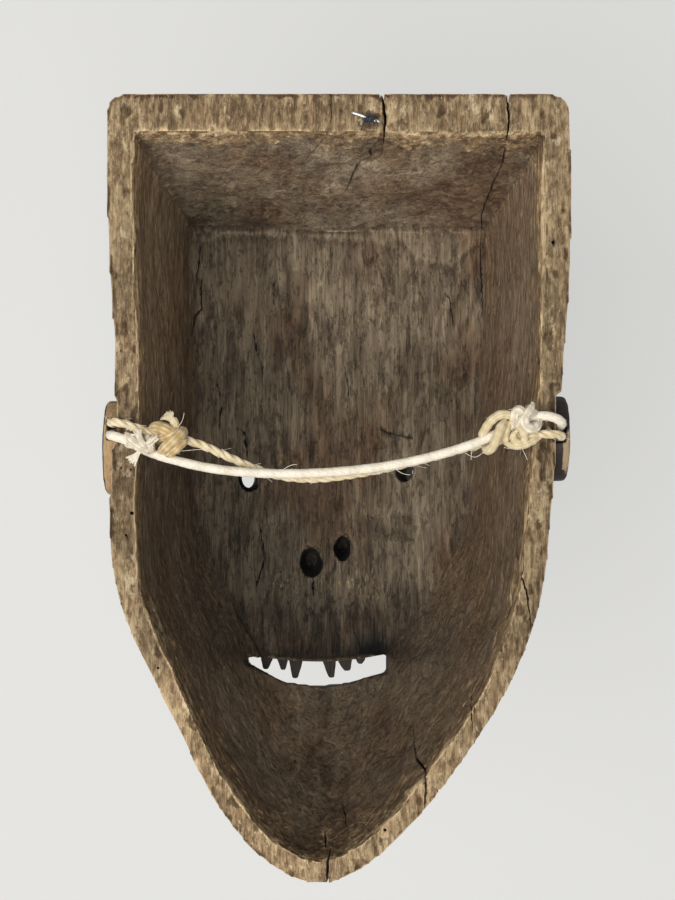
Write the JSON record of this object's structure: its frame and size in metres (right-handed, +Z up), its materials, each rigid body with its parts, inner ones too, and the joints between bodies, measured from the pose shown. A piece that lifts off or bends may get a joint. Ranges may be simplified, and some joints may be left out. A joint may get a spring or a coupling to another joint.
{
  "type": "carved wooden mask",
  "caption": "Hollowed wooden dance mask with a pointed chin, separate ears, jagged teeth, eye, nostril and mouth openings, knotted head cords and a wire hanging staple.",
  "frame": {"origin": "middle of the hanging staple in the top of the rim, on the rim's back plane", "axes": "+Z up towards the top of the head, +Y out of the hollow back, -Y the way the face looks, +X towards the mask's own left ear"},
  "size_m": [0.1745, 0.1213, 0.281],
  "materials": {
    "worn_wood": "dry, worn and chiselled, with old dark paint on the face side",
    "bare_ear_wood": "bare tan wood, painted on the outside",
    "painted_ear_wood": "dark paint, worn to bare wood on its edge",
    "tooth_wood": "dark and rough whittled slips",
    "iron_nail": "blackened, slightly rusty",
    "steel_wire": "dull silver",
    "dark_thread": "blue-black twisted thread",
    "white_cord": "soft off-white cotton cord",
    "straw_cord": "coarse twisted straw-coloured fibre"
  },
  "bodies": {
    "root": {"ear_nails": "iron_nail", "hanging_staple": "steel_wire", "left_ear": "bare_ear_wood", "left_frayed_knot": "white_cord", "left_knot": "straw_cord", "left_stopper_knot": "straw_cord", "left_tassel": "white_cord", "mask_shell": "worn_wood", "right_ear": "painted_ear_wood", "right_stopper_knot": "straw_cord", "right_twisted_knot": "straw_cord", "right_white_knot": "white_cord", "thread_knot": "dark_thread", "tooth_1": "tooth_wood", "tooth_2": "tooth_wood", "tooth_3": "tooth_wood", "tooth_4": "tooth_wood", "tooth_5": "tooth_wood", "tooth_6": "tooth_wood", "twisted_cord": "straw_cord", "white_cord": "white_cord"}
  },
  "joints": []
}
